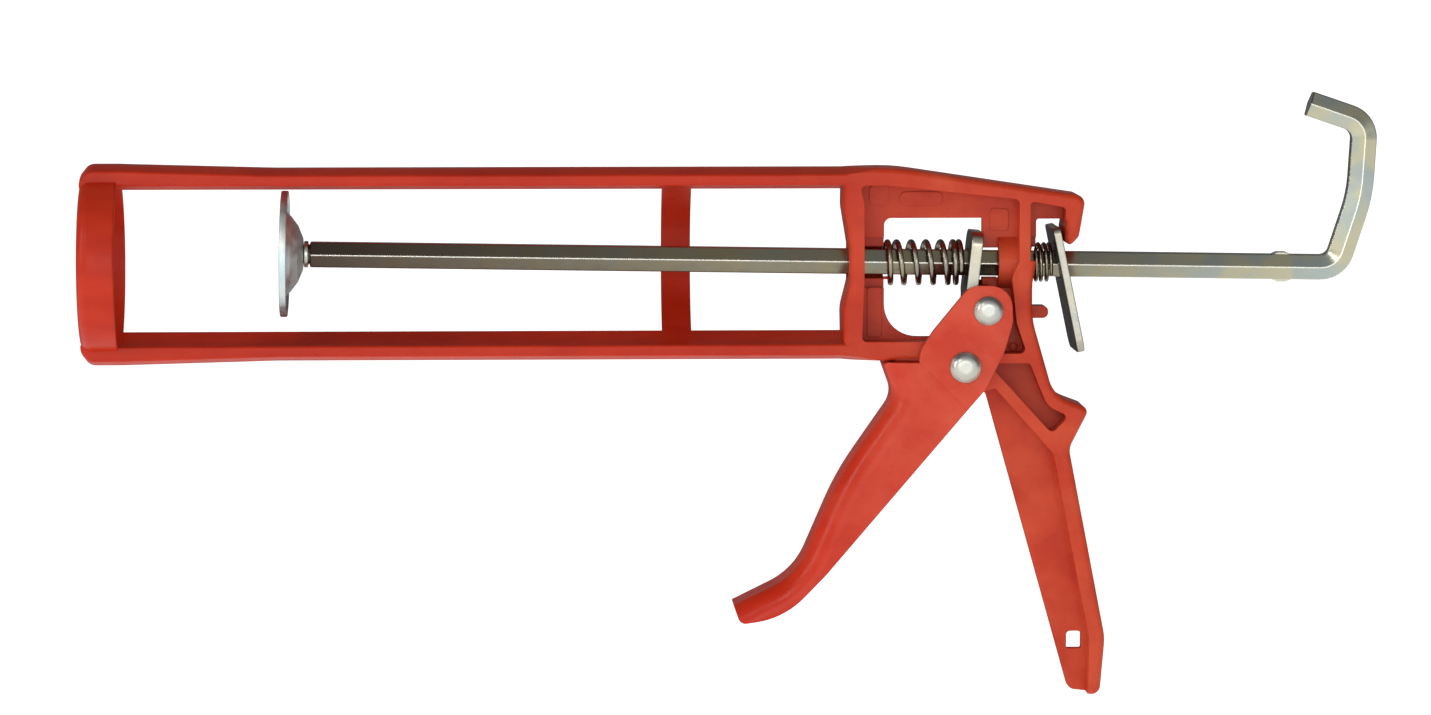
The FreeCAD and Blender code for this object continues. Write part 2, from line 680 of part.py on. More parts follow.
# The inside of the channel, past the front wall, is open to the top and to the rear.
wall = size.trigger_wall
sketch = new_sketch(trigger, "channel_outline", "XZ_Plane")
outline(sketch, [
    (pivot_x - 22.8 + wall, cheek_top + 8.0),
    (pivot_x - 22.8 + wall, pivot_z + 0.3, 1.0),
    (pivot_x - 20.8 + wall * 1.05, pivot_z - 9.2 - wall * 0.3, 7.0),
    (pivot_x - 37.6 + wall * 0.9, pivot_z - 33.4 - wall * 0.45, 90.0),
    (pivot_x - 50.3 + wall * 0.75, tip_z + 13.5 - wall * 0.8, 18.0),
    (pivot_x - 64.5, tip_z + 3.6, 0.8),
    (pivot_x - 63.0, tip_z - 5.0),
    (heel_x, tip_z - 5.0),
    (pin_x + 16.0, heel_z),
    (pin_x + 16.0, cheek_top + 8.0)])
pocket(trigger, "channel", sketch, cheek_inner * 2)

# The far ear stands back at the front, clear of the view through the housing's window.
sketch = new_sketch(trigger, "far_ear_outline", "XZ_Plane", -cheek_inner + 1.0)
outline(sketch, [
    (pivot_x - 18.0, pivot_z + 1.6),
    (pivot_x - 10.8, pivot_z + 1.6),
    (pivot_x - 7.0, pivot_z + 8.8, 12.0),
    (pin_x - 2.4, cheek_top - 1.6, 5.0),
    (pin_x - 2.4, cheek_top + 3.0),
    (pivot_x - 18.0, cheek_top + 3.0)])
pocket(trigger, "far_ear_setback", sketch, ear_outer, both_ways=False)

for name, across, up, shank in (("pivot_hole", pivot_x, pivot_z, size.pivot_shank),
                                ("pin_hole", pin_x, pin_z, size.pin_shank)):
    sketch = new_sketch(trigger, name + "_circle", "XZ_Plane")
    disc(sketch, across, up, shank / 2 + size.rivet_play)
    pocket(trigger, name, sketch, ear_outer * 2 + 2.0)

# ------------------------------------------------------------------------ rivets and sleeve

def make_rivet(label, shank, head, across, up):
    """A domed rivet on the Y axis: head on the near flank, formed tail on its washer beyond."""
    rivet = new_body(label)
    profile = new_sketch(rivet, label + "_section", "XY_Plane")
    far_seat = ear_outer + size.washer_wall
    dome, tail = head * 0.24, shank * 0.42
    outline(profile, [
        (0.0, -ear_outer - dome),
        (head * 0.31, -ear_outer - dome, head * 0.35),
        (head / 2, -ear_outer - 0.45, 0.3),
        (head / 2, -ear_outer),
        (shank / 2, -ear_outer),
        (shank / 2, far_seat),
        (shank * 0.78, far_seat),
        (shank * 0.78, far_seat + tail, tail * 0.7),
        (0.0, far_seat + tail)])
    revolve(rivet, label + "_turned", profile, "V_Axis")
    put(rivet, across, 0.0, up)
    return rivet


def make_ring(label, inner, outer, start, length, across, up, rim=0.0):
    """A plain ring on the Y axis, used for washers and the sleeve."""
    ring = new_body(label)
    profile = new_sketch(ring, label + "_section", "XY_Plane")
    outline(profile, [(inner, start), (outer, start), (outer, start + length),
                      (inner, start + length)])
    revolve(ring, label + "_turned", profile, "V_Axis")
    if rim > 0.0:
        fillet(ring, label + "_rim", rim,
               lambda edge: edge.BoundBox.XLength > 2 * sized(outer).value - 0.05)
    put(ring, across, 0.0, up)
    return ring


pivot_rivet = make_rivet("pivot_rivet", size.pivot_shank, size.pivot_head, pivot_x, pivot_z)
drive_pin = make_rivet("drive_pin", size.pin_shank, size.pin_head, pin_x, pin_z)
pivot_washer = make_ring("pivot_rivet_washer", size.pivot_shank / 2 + size.rivet_play,
                         size.pivot_shank, ear_outer, size.washer_wall, pivot_x, pivot_z, 0.25)
pin_washer = make_ring("drive_pin_washer", size.pin_shank / 2 + size.rivet_play,
                       size.pin_shank * 1.1, ear_outer, size.washer_wall, pin_x, pin_z, 0.25)
sleeve_half = cheek_inner - 0.1
pin_sleeve = make_ring("drive_pin_sleeve", size.pin_shank / 2 + size.rivet_play,
                       size.sleeve_diameter / 2, -sleeve_half, sleeve_half * 2, pin_x, pin_z, 0.3)

# --------------------------------------------------------------------------- rod and piston

# The rod's straight part runs from its shoulder behind the piston to the lower bend of the hook.
shoulder_x = -size.rod_reach
lower_bend = size.rod_length - size.rod_reach
push_rod = new_body("push_rod")
section = new_sketch(push_rod, "rod_section", "YZ_Plane", shoulder_x)
outline(section, hexagon(size.rod_flats))
path = new_sketch(push_rod, "rod_path", "XZ_Plane")
hook_top_x = lower_bend + 7.8
ROUTE = (
    (shoulder_x, 0.0),
    (lower_bend, 0.0, 6.6),
    (lower_bend + 6.8, size.hook_height * 0.5, 45.0),
    (hook_top_x, size.hook_height, 6.6),
    (hook_top_x - 16.9, size.hook_height + 5.5))


def open_path(sketch, stops):
    """A chain of lines; a stop with a radius is rounded."""
    points = [FreeCAD.Vector(sized(s[0]).value, sized(s[1]).value, 0) for s in stops]
    before = None
    start = points[0]
    for i in range(1, len(stops)):
        rounded = i < len(stops) - 1
        if rounded:
            radius = sized(stops[i][2]).value
            back = (points[i - 1] - points[i]).normalize()
            ahead = (points[i + 1] - points[i]).normalize()
            half = 0.5 * back.getAngle(ahead)
            reach = radius / math.tan(half)
            finish = points[i] + back * reach
        else:
            finish = points[i]
        line = sketch.addGeometry(Part.LineSegment(start, finish), False)
        if before is None:
            place_point(sketch, line, 1, stops[0][0], stops[0][1])
        else:
            arc, leaving, sharp = before
            sketch.addConstraint(Sketcher.Constraint("Tangent", line, 1, arc, leaving))
            sketch.addConstraint(Sketcher.Constraint("PointOnObject", sharp, 1, line))
        if not rounded:
            place_point(sketch, line, 2, stops[i][0], stops[i][1])
            break
        centre = points[i] + (back + ahead).normalize() * (radius / math.sin(half))
        start = points[i] + ahead * reach
        circle = Part.Circle(centre, FreeCAD.Vector(0, 0, 1), radius)
        clockwise = back.cross(ahead).z > 0
        first, last = (start, finish) if clockwise else (finish, start)
        arc = sketch.addGeometry(Part.ArcOfCircle(circle, circle.parameter(first),
                                                  circle.parameter(last)), False)
        entering, leaving = (2, 1) if clockwise else (1, 2)
        sketch.addConstraint(Sketcher.Constraint("Tangent", line, 2, arc, entering))
        bind(sketch, "Radius", arc, stops[i][2])
        sharp = sketch.addGeometry(Part.Point(points[i]), True)
        place_point(sketch, sharp, 1, stops[i][0], stops[i][1])
        sketch.addConstraint(Sketcher.Constraint("PointOnObject", sharp, 1, line))
        before = (arc, leaving, sharp)


open_path(path, ROUTE)
doc.recompute()
sweep = push_rod.newObject("PartDesign::AdditivePipe", "bent_hexagon")
sweep.Profile = section
sweep.Spine = (path, ["Edge%d" % number for number in range(1, len(path.Shape.Edges) + 1)])
doc.recompute()


def cut_end(edge):
    """The hexagon round the rod's shoulder and round the hook's end."""
    box = edge.BoundBox
    at_shoulder = box.XMax < shoulder_x.value + 0.01
    at_tip = box.XMax < (hook_top_x - 13.0).value and box.ZMin > size.hook_height.value
    return at_shoulder or at_tip


fillet(push_rod, "end_rounding", 0.5, cut_end)

# Neck that carries the piston disc, and the thread in front of it.
seat_x = shoulder_x - size.neck_length
nut_front = seat_x - size.disc_wall - size.nut_height
sketch = new_sketch(push_rod, "neck_section", "XZ_Plane")
outline(sketch, [
    (shoulder_x + 2.0, 0.0),
    (shoulder_x + 2.0, size.neck_diameter / 2),
    (seat_x, size.neck_diameter / 2),
    (seat_x, size.thread_diameter / 2),
    (nut_front - 0.6, size.thread_diameter / 2, 0.5),
    (nut_front - 0.6, 0.0)])
revolve(push_rod, "neck", sketch)

# Crimped stop: the rod is squeezed so that it bulges above and below.
crimp = lower_bend - 16.5
sketch = new_sketch(push_rod, "crimp_outline", "XZ_Plane")
bulge = size.rod_flats / 2 + size.crimp_swell
outline(sketch, [
    (crimp - 4.2, size.rod_flats / 2 - 0.6, 0.3),
    (crimp - 1.4, bulge, 1.6),
    (crimp + 1.4, bulge, 1.6),
    (crimp + 4.2, size.rod_flats / 2 - 0.6, 0.3),
    (crimp + 4.2, 0.6 - size.rod_flats / 2, 0.3),
    (crimp + 1.4, -bulge, 1.6),
    (crimp - 1.4, -bulge, 1.6),
    (crimp - 4.2, 0.6 - size.rod_flats / 2, 0.3)])
pad(push_rod, "crimp", sketch, rod_corner * 0.95)

# Pressed disc: a flat rim with a dome rising to the neck.
piston = new_body("piston_disc")
dome_back = seat_x
rim_back = dome_back - size.dome_depth
top_radius = size.nut_flats / root(Size(3.0, "3.0")) + 3.0
sketch = new_sketch(piston, "disc_section", "XZ_Plane")
hole = size.thread_diameter / 2 + size.rivet_play
outline(sketch, [
    (dome_back, hole),
    (dome_back, top_radius, 6.8),
    (rim_back, size.dome_diameter / 2, 1.2),
    (rim_back, size.disc_diameter / 2, size.disc_wall * 0.45),
    (rim_back - size.disc_wall, size.disc_diameter / 2, size.disc_wall * 0.45),
    (rim_back - size.disc_wall, size.dome_diameter / 2 - 0.6, 2.4),
    (dome_back - size.disc_wall, top_radius - 0.6, 5.2),
    (dome_back - size.disc_wall, hole)])
revolve(piston, "disc_turned", sketch)

nut = new_body("disc_nut")
sketch = new_sketch(nut, "nut_section", "YZ_Plane", nut_front)
outline(sketch, hexagon(size.nut_flats))
disc(sketch, 0.0, 0.0, hole)
pad(nut, "nut_block", sketch, size.nut_height, both_ways=False)

# Collar washer on the neck, between the rod's shoulder and the disc.
collar = new_body("disc_collar")
sketch = new_sketch(collar, "collar_section", "XZ_Plane")
collar_inner = size.neck_diameter / 2 + size.rivet_play
collar_outer = rod_corner - 0.35
outline(sketch, [
    (seat_x, collar_inner), (seat_x, collar_outer, 0.35),
    (seat_x + size.neck_length - 0.5, collar_outer, 0.35),
    (seat_x + size.neck_length - 0.5, collar_inner)])
revolve(collar, "collar_turned", sketch)

# The rod lies slightly tilted in its loose bearings, the piston end up, about their middle.
tilt_place = (bulkhead_rear + bearing_end) / 2
for item in (push_rod, piston, nut, collar):
    put(item, tilt_place - tilt_place * cosine(size.rod_tilt), 0.0,
        tilt_place * sine(size.rod_tilt), size.rod_tilt)


def rod_height(across):
    """Height of the tilted rod's axis at a distance back."""
    return (tilt_place - across) * sine(size.rod_tilt) / cosine(size.rod_tilt)


# ---------------------------------------------------------------------------------- plates

# Each plate is drawn upright about the hole for the rod, then leaned back into place.
drive_plate = new_body("drive_plate")
sketch = new_sketch(drive_plate, "drive_plate_outline", "YZ_Plane")
plate_half = size.plate_width / 2
tongue_half = size.tongue_width / 2
top = size.plate_top / cosine(size.plate_tilt)
bottom = (size.tongue_past_pin - pin_z) / cosine(size.plate_tilt)
outline(sketch, [
    (plate_half, top, 4.0), (-plate_half, top, 4.0),
    (-plate_half, -8.6, 2.0), (-tongue_half, -10.6, 1.5),
    (-tongue_half, -bottom, 1.6), (tongue_half, -bottom, 1.6),
    (tongue_half, -10.6, 1.5), (plate_half, -8.6, 2.0)])
outline(sketch, hexagon(size.rod_flats + size.plate_play))
pad(drive_plate, "drive_plate_blank", sketch, size.plate_wall)


def blanked_edge(wall_size, radius_limit):
    """Edges round the outside of a stamped plate, not those of its hole."""
    def choose(edge):
        box = edge.BoundBox
        middle = edge.valueAt((edge.FirstParameter + edge.LastParameter) / 2)
        on_face = abs(abs(middle.x) - wall_size.value / 2) < 0.01 and box.XLength < 0.01
        return on_face and math.hypot(middle.y, middle.z) > radius_limit
    return choose


fillet(drive_plate, "drive_plate_edges", 0.35, blanked_edge(size.plate_wall, 6.9))
put(drive_plate, plate_centre, 0.0, rod_height(plate_centre), size.plate_tilt)

release_plate = new_body("release_plate")
sketch = new_sketch(release_plate, "release_plate_outline", "YZ_Plane")
release_half_wide = size.release_width / 2
release_top = size.release_top / cosine(size.release_tilt)
release_bottom = release_top - size.release_length
outline(sketch, [
    (release_half_wide, release_top, 2.0), (-release_half_wide, release_top, 2.0),
    (-release_half_wide, release_bottom, 3.8), (release_half_wide, release_bottom, 3.8)])
outline(sketch, hexagon(size.rod_flats + size.release_play))
pad(release_plate, "release_plate_blank", sketch, size.release_wall)
fillet(release_plate, "release_plate_edges", 0.3, blanked_edge(size.release_wall, 6.9))
put(release_plate, release_centre, 0.0, rod_height(release_centre), -size.release_tilt)

# --------------------------------------------------------------------------------- springs

def make_spring(label, start, length, diameter, wire, turns, side):
    """An open coil about the rod's axis, from start towards the rear; side is where its ends lie."""
    spring = new_body(label)
    profile = new_sketch(spring, label + "_wire", "XZ_Plane")
    disc(profile, start + wire / 2, (diameter / 2 - wire / 2) * side, wire / 2)
    coil = spring.newObject("PartDesign::AdditiveHelix", label + "_coil")
    coil.Profile = profile
    coil.ReferenceAxis = (profile, ["H_Axis"])
    coil.Mode = "height-turns-angle"
    coil.setExpression("Height", (length - wire).text)
    coil.setExpression("Turns", turns.text)
    doc.recompute()
    return spring


drive_spring = make_spring("drive_spring", spring_seat, size.spring_length,
                           spring_diameter, size.spring_wire, size.spring_turns, -1.0)
release_spring = make_spring("release_spring", bearing_end, size.return_length,
                             return_diameter, size.return_wire, size.return_turns, 1.0)

# ------------------------------------------------------------------------ checks and export

doc.recompute()
SUB_PARTS = (frame, trigger, pivot_rivet, pivot_washer, drive_pin, pin_washer, pin_sleeve,
             push_rod, piston, nut, collar, drive_plate, release_plate, drive_spring,
             release_spring)
for item in doc.Objects:
    if "Invalid" in item.State or "Error" in item.State:
        raise RuntimeError("%s failed: %s" % (item.Label, item.State))
    if item.TypeId == "Sketcher::SketchObject" and not item.FullyConstrained:
        raise RuntimeError("%s is not fully constrained" % item.Label)
for part in SUB_PARTS:
    if part.Shape.isNull() or not part.Shape.isValid():
        raise RuntimeError("%s has no valid shape" % part.Label)

os.makedirs("parts", exist_ok=True)
for part in SUB_PARTS:
    part.Shape.exportStep("parts/%s.step" % part.Label)
    print("%-20s %d solid %9.1f mm3" % (part.Label, len(part.Shape.Solids), part.Shape.Volume))
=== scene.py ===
# %% [markdown]
# # A caulking gun, and how to give it its looks
#
# The shapes of this gun come ready made and to size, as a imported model. This lesson loads that
# model, gives each piece the finish that the real one has, and adds the small things that only
# matter to the eye: the springs' closed ends, the pressed disc's ring and rolled rim, the marks
# that a mould leaves. All lengths are in metres. +X points to the rear, towards the rod's hook,
# +Z is up, and the side of the gun that we look at is -Y.

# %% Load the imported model
import bmesh
import bpy
import json
import math
from mathutils import Matrix, Vector


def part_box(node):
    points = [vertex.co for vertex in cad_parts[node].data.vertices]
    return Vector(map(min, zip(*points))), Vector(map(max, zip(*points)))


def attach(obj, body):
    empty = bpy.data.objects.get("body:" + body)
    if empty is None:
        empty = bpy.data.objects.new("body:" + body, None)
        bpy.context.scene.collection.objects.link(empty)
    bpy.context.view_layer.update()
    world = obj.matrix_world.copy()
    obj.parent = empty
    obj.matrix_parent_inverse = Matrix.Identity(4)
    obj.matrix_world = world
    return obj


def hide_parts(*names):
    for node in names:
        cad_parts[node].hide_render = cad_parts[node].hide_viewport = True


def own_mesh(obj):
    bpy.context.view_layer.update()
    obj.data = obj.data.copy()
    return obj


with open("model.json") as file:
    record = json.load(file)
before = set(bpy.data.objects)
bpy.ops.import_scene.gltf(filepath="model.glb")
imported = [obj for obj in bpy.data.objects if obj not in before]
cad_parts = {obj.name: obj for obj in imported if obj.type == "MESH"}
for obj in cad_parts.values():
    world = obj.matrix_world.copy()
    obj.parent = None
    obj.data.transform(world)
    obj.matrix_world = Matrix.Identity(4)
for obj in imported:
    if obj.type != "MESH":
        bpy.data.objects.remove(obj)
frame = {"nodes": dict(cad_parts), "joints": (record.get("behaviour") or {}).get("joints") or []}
nodes = frame["nodes"]
joints = {joint["name"]: joint for joint in frame["joints"]}
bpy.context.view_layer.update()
MM = 0.001
for name in sorted(nodes):
    low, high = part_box(name)
    print("%-20s %s to %s mm" % (name, [round(v / MM, 1) for v in low],
                                 [round(v / MM, 1) for v in high]))

# %% [markdown]
# ## Materials: where a graph starts
#
# A material in Blender is a small graph of nodes that ends in a Principled BSDF, which stands
# for the surface. Real surfaces are never even, so each graph here mixes colours and roughness
# with noise, and the noise reads Object coordinates: its grain is then in real metres, and it
# doesn't move when the piece is seen from elsewhere. Each helper adds a node and gives back its
# output, which keeps the graphs short to read.

# %% Start a material
def new_material(name, metallic, roughness):
    """A new material: itself, its tree, its shader and its Object coordinates."""
    material = bpy.data.materials.new(name)
    material.use_nodes = True
    tree = material.node_tree
    shader = tree.nodes["Principled BSDF"]
    shader.inputs["Metallic"].default_value = metallic
    shader.inputs["Roughness"].default_value = roughness
    place = tree.nodes.new("ShaderNodeTexCoord")
    return material, tree, shader, place.outputs["Object"]


def along(tree, place, axis):
    """How far a point lies along the axis X, Y or Z."""
    node = tree.nodes.new("ShaderNodeSeparateXYZ")
    tree.links.new(place, node.inputs["Vector"])
    return node.outputs[axis]


def stretched(tree, place, scale):
    """The place multiplied by a scale along each axis; a small scale draws a pattern out."""
    node = tree.nodes.new("ShaderNodeMapping")
    node.inputs["Scale"].default_value = scale
    tree.links.new(place, node.inputs["Vector"])
    return node.outputs["Vector"]


def noise(tree, place, scale, detail=2.0, rough=0.5):
    """Cloudy grain, as a number from 0 to 1 that is mostly near a half."""
    node = tree.nodes.new("ShaderNodeTexNoise")
    node.inputs["Scale"].default_value = scale
    node.inputs["Detail"].default_value = detail
    node.inputs["Roughness"].default_value = rough
    tree.links.new(place, node.inputs["Vector"])
    return node.outputs["Fac"]


# %% [markdown]
# ## Materials: mixing
#
# Noise gives a number around a half. `spread` picks the part of its range that matters and
# turns it into a share, `calculate` joins two shares, and `blend_colours` mixes two colours by
# one. The Mix node has sockets for numbers and colours under the same names, so its colour
# sockets are called by their index.

# %% Mix numbers and colours
MIX_FIRST, MIX_SECOND, MIX_RESULT = 6, 7, 2


def feed(tree, socket, value):
    """Gives a socket a number, a colour, or the output of another node."""
    if isinstance(value, bpy.types.NodeSocket):
        tree.links.new(value, socket)
    elif socket.type == "RGBA":
        socket.default_value = (*value, 1.0)
    else:
        socket.default_value = value


def spread(tree, value, source, target):
    """Maps the range source of a value to the range target, and holds it there beyond."""
    node = tree.nodes.new("ShaderNodeMapRange")
    for socket, number in zip(("From Min", "From Max", "To Min", "To Max"), (*source, *target)):
        node.inputs[socket].default_value = number
    tree.links.new(value, node.inputs["Value"])
    return node.outputs["Result"]


def calculate(tree, operation, *values):
    """One step of arithmetic on numbers and outputs."""
    node = tree.nodes.new("ShaderNodeMath")
    node.operation = operation
    for socket, value in zip(node.inputs, values):
        feed(tree, socket, value)
    return node.outputs["Value"]


def blend_colours(tree, share, first, second):
    """Mixes two colours, each given as a colour or as an output, by a share from 0 to 1."""
    node = tree.nodes.new("ShaderNodeMix")
    node.data_type = "RGBA"
    tree.links.new(share, node.inputs["Factor"])
    feed(tree, node.inputs[MIX_FIRST], first)
    feed(tree, node.inputs[MIX_SECOND], second)
    return node.outputs[MIX_RESULT]


# %% [markdown]
# ## Materials: edges and fine relief
#
# Relief that is too fine for the mesh goes into the shading: Bump tilts it by a height in
# metres, and Bevel shades an edge as if it were round, without touching the mesh. Where
# Bevel's normal leaves the surface's own one, there is an edge, and that gives a mask for
# painting highlights and shade along edges.

# %% Shade edges and relief
def bump(tree, height, distance, strength, below):
    """Tilts the shading by a height, on top of the normal below."""
    node = tree.nodes.new("ShaderNodeBump")
    node.inputs["Distance"].default_value = distance
    node.inputs["Strength"].default_value = strength
    tree.links.new(height, node.inputs["Height"])
    tree.links.new(below, node.inputs["Normal"])
    return node.outputs["Normal"]


def rounded_edges(tree, radius):
    """Shades every edge as if it were rounded to this radius."""
    node = tree.nodes.new("ShaderNodeBevel")
    node.samples = 10
    node.inputs["Radius"].default_value = radius
    return node.outputs["Normal"]


def edge_mask(tree, rounded):
    """1 along edges, where the rounded normal leaves the true one, and 0 on open faces."""
    shape = tree.nodes.new("ShaderNodeNewGeometry")
    agree = tree.nodes.new("ShaderNodeVectorMath")
    agree.operation = "DOT_PRODUCT"
    tree.links.new(rounded, agree.inputs[0])
    tree.links.new(shape.outputs["True Normal"], agree.inputs[1])
    return spread(tree, agree.outputs["Value"], (0.92, 0.985), (1.0, 0.0))


# %% [markdown]
# ## The red moulded plastic
#
# The frame and the trigger are injection moulded. Such plastic is glossy but not a mirror: the
# mould's own fine texture blurs reflections a little, thick places sink by a few hundredths of
# a millimetre as they cool, and the pigment flows in faint streaks away from the gate. Handling
# leaves hair-fine scratches, and sharp edges are really a few tenths of a millimetre round,
# which is what catches the light along every rib. Towards the housing and the trigger's ears,
# a pale pink painted sheen lifts the colour in patches; it stands in for the broad glossy
# reflection on the flat faces. The long arms and the trigger's tip keep their deeper red.

# %% Red plastic
# The pale painted sheen on the plastic grows along X over this range, up to this share.
PAINTED_SHEEN_X = (-25.0 * MM, 30.0 * MM)
PAINTED_SHEEN_SHARE = 0.50
SCUFF_LIFT = 0.06


def red_plastic(name, deep, bright, painted_sheen, gloss):
    """Moulded plastic: deep to bright is the pigment's range, painted_sheen is a pale painted
    sheen.
    """
    material, tree, shader, place = new_material(name, metallic=0.0, roughness=gloss)
    cloud = noise(tree, place, scale=38.0, detail=3.0, rough=0.55)
    streak = noise(tree, stretched(tree, place, (0.25, 1.0, 1.0)), scale=210.0, detail=4.0,
                   rough=0.6)
    tone = calculate(tree, "MULTIPLY_ADD", cloud, 0.65,
                     spread(tree, streak, (0.3, 0.7), (0.05, 0.3)))
    colour = blend_colours(tree, spread(tree, tone, (0.3, 0.7), (0.0, 1.0)), deep, bright)

    scuff = noise(tree, stretched(tree, place, (0.35, 1.0, 2.4)), scale=900.0, detail=5.0,
                  rough=0.7)
    pale = tuple(min(1.0, channel + SCUFF_LIFT) for channel in bright)
    colour = blend_colours(tree, spread(tree, scuff, (0.66, 0.80), (0.0, 0.5)), colour, pale)

    # A pale pink painted sheen, in patches, towards the housing at the rear.
    painted_sheen_reach = spread(tree, along(tree, place, "X"), PAINTED_SHEEN_X, (0.0, PAINTED_SHEEN_SHARE))
    patches = noise(tree, place, scale=60.0, detail=4.0, rough=0.6)
    painted_sheen_share = calculate(tree, "MULTIPLY", painted_sheen_reach,
                        spread(tree, patches, (0.38, 0.62), (0.3, 1.0)))
    colour = blend_colours(tree, painted_sheen_share, colour, painted_sheen)
    tree.links.new(colour, shader.inputs["Base Color"])

    haze = noise(tree, place, scale=120.0, detail=5.0, rough=0.65)
    tree.links.new(spread(tree, haze, (0.3, 0.7), (gloss - 0.06, gloss + 0.10)),
                   shader.inputs["Roughness"])
    shader.inputs["IOR"].default_value = 1.46
    shader.inputs["Specular IOR Level"].default_value = 0.20
    shader.inputs["Subsurface Weight"].default_value = 0.05
    shader.inputs["Subsurface Radius"].default_value = (1.0, 0.12, 0.06)
    shader.inputs["Subsurface Scale"].default_value = 0.002
    sink = bump(tree, noise(tree, place, scale=55.0, detail=1.0), 0.25 * MM, 0.55,
                rounded_edges(tree, 0.35 * MM))
    skin = bump(tree, noise(tree, place, scale=2600.0), 0.01 * MM, 0.5, sink)
    tree.links.new(skin, shader.inputs["Normal"])
    print("made material", name)
    return material


frame_red = red_plastic("frame_red_plastic", deep=(0.38, 0.015, 0.003),
                        bright=(0.47, 0.026, 0.006), painted_sheen=(0.63, 0.098, 0.036), gloss=0.34)
trigger_red = red_plastic("trigger_red_plastic", deep=(0.45, 0.017, 0.004),
                          bright=(0.54, 0.028, 0.008), painted_sheen=(0.65, 0.110, 0.056), gloss=0.27)

# %% [markdown]
# ## Zinc plated steel
#
# The rod, the plates and the disc are plain steel with a thin coat of zinc, passivated so that
# it doesn't go white. That film shows weak colours, a little yellow here and a little blue
# there. Drawn rod has fine lines along its length; stamped sheet has a shallow random grain.
# One helper makes all of them: only the tint, the grain's direction and its depth differ. The
# tints are darker than fresh zinc, because a film and a trace of oil take the shine down. Along
# an edge the colour is painted: a painted highlight makes the rod's and the plates' edges
# bright, and a painted shade makes a rivet's edge darker.

# %% Zinc plating
def plated_steel(name, tint, warm, cool, grain, roughness, depth, edge, painted_edge_colour=None, shade=None):
    """Zinc plated steel; painted_edge_colour paints a highlight or a shade along edges; shade
    paints shade, and on the rod also light, on part of the piece.
    """
    material, tree, shader, place = new_material(name, metallic=1.0, roughness=roughness)
    film = noise(tree, place, scale=70.0, detail=3.0, rough=0.6)
    colour = blend_colours(tree, spread(tree, film, (0.42, 0.60), (0.0, 0.8)), tint, warm)
    other = noise(tree, stretched(tree, place, (1.3, 0.8, 1.1)), scale=105.0, detail=3.0,
                  rough=0.6)
    colour = blend_colours(tree, spread(tree, other, (0.52, 0.68), (0.0, 0.7)), colour, cool)
    lines = noise(tree, stretched(tree, place, grain), scale=1500.0, detail=4.0, rough=0.65)
    dark = tuple(channel * 0.55 for channel in tint)
    colour = blend_colours(tree, spread(tree, lines, (0.60, 0.78), (0.0, 0.5)), colour, dark)
    if shade is not None:
        colour = shade(tree, place, colour)
    rounded = rounded_edges(tree, edge)
    # Along edges the colour is painted light or shade: a painted highlight on the rod and the
    # plates, a painted shade round the rivets' heads.
    if painted_edge_colour is not None:
        colour = blend_colours(tree, edge_mask(tree, rounded), colour, painted_edge_colour)
    tree.links.new(colour, shader.inputs["Base Color"])

    patches = noise(tree, place, scale=240.0, detail=4.0, rough=0.6)
    tree.links.new(spread(tree, patches, (0.3, 0.7), (roughness * 0.75, roughness * 1.35)),
                   shader.inputs["Roughness"])
    waves = bump(tree, noise(tree, place, scale=120.0), 0.12 * MM, 0.5, rounded)
    tree.links.new(bump(tree, lines, depth, 0.5, waves), shader.inputs["Normal"])
    print("made material", name)
    return material


# %% [markdown]
# ## Painted shade and light on the rod and the plates
#
# The rod's front end is darkened with painted shade, and its bend is brightened with painted
# light and tinted with a yellow and a green film. The two plates are stamped; their flat faces
# get a painted shade, and their sheared sides keep the plating's tint. Both follow Object
# coordinates. A plate's flat faces are found from its mesh: its largest face says which way is
# square to the plate, and a point's distance from the middle along that way tells face from
# side.

# %% Painted shade and light along the rod and across the plates
PAINTED_SHADE_FRONT_X = (-175.0 * MM, -25.0 * MM)
PAINTED_LIGHT_BEND_X = (60.0 * MM, 150.0 * MM)


def paint_rod_shade_and_light(tree, place, colour):
    """Paints shade on the rod towards its front end, and light towards the bend of the hook."""
    rod_x = along(tree, place, "X")
    front = spread(tree, rod_x, PAINTED_SHADE_FRONT_X, (1.0, 0.0))
    rear = spread(tree, rod_x, PAINTED_LIGHT_BEND_X, (0.0, 1.0))
    # A painted shade darkens the rod towards its front end.
    colour = blend_colours(tree, front, colour, (0.050, 0.032, 0.026))
    # A painted light brightens the bend, with a yellow and a green film tint.
    film = noise(tree, place, scale=85.0)
    bend = blend_colours(tree, spread(tree, film, (0.42, 0.58), (0.0, 1.0)),
                         (0.34, 0.39, 0.375), (0.45, 0.43, 0.30))
    return blend_colours(tree, rear, colour, bend)


def paint_shade_on_flat_sides(name):
    """Makes the painted shade for a plate: darker flat sides, which are found from its mesh."""
    data = nodes[name].data
    square = max(data.polygons, key=lambda face: face.area).normal.copy()
    heights = [square.dot(vertex.co) for vertex in data.vertices]
    middle = (max(heights) + min(heights)) / 2
    half = (max(heights) - min(heights)) / 2

    def shade(tree, place, colour):
        height = tree.nodes.new("ShaderNodeVectorMath")
        height.operation = "DOT_PRODUCT"
        height.inputs[1].default_value = square
        tree.links.new(place, height.inputs[0])
        off_middle = calculate(tree, "SUBTRACT", height.outputs["Value"], middle)
        share = spread(tree, calculate(tree, "ABSOLUTE", off_middle),
                       (half - 0.25 * MM, half - 0.05 * MM), (0.0, 1.0))
        # The flat faces are painted almost black: a painted shade.
        return blend_colours(tree, share, colour, (0.085, 0.060, 0.052))

    print("%s is %.1f mm thick" % (name, 2 * half / MM))
    return shade
